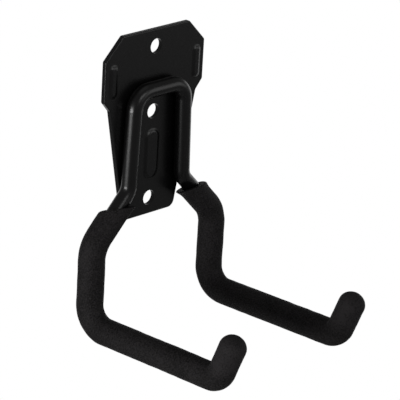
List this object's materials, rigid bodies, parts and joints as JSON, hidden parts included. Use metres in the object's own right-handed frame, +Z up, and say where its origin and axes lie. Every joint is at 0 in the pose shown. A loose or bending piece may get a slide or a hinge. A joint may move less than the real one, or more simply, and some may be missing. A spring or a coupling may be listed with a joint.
{
  "type": "garage utility hook",
  "caption": "Wall utility hook: pressed steel back plate with a bent round rod, whose foam-sleeved prongs reach forwards and turn up at the tips to cradle hoses, ladders or tools.",
  "frame": {"origin": "centre of the middle screw hole, on the plate's back face, which is the wall's plane", "axes": "+X to the right of someone who faces the wall, +Y into the wall, +Z up; the prongs point along -Y"},
  "size_m": [0.095, 0.1108, 0.1496],
  "materials": {
    "powder_coat": "satin",
    "foam": "matte"
  },
  "bodies": {
    "root": {"back_plate": "powder_coat", "hook_rod": "powder_coat", "left_foam_sleeve": "foam", "right_foam_sleeve": "foam"}
  },
  "joints": []
}
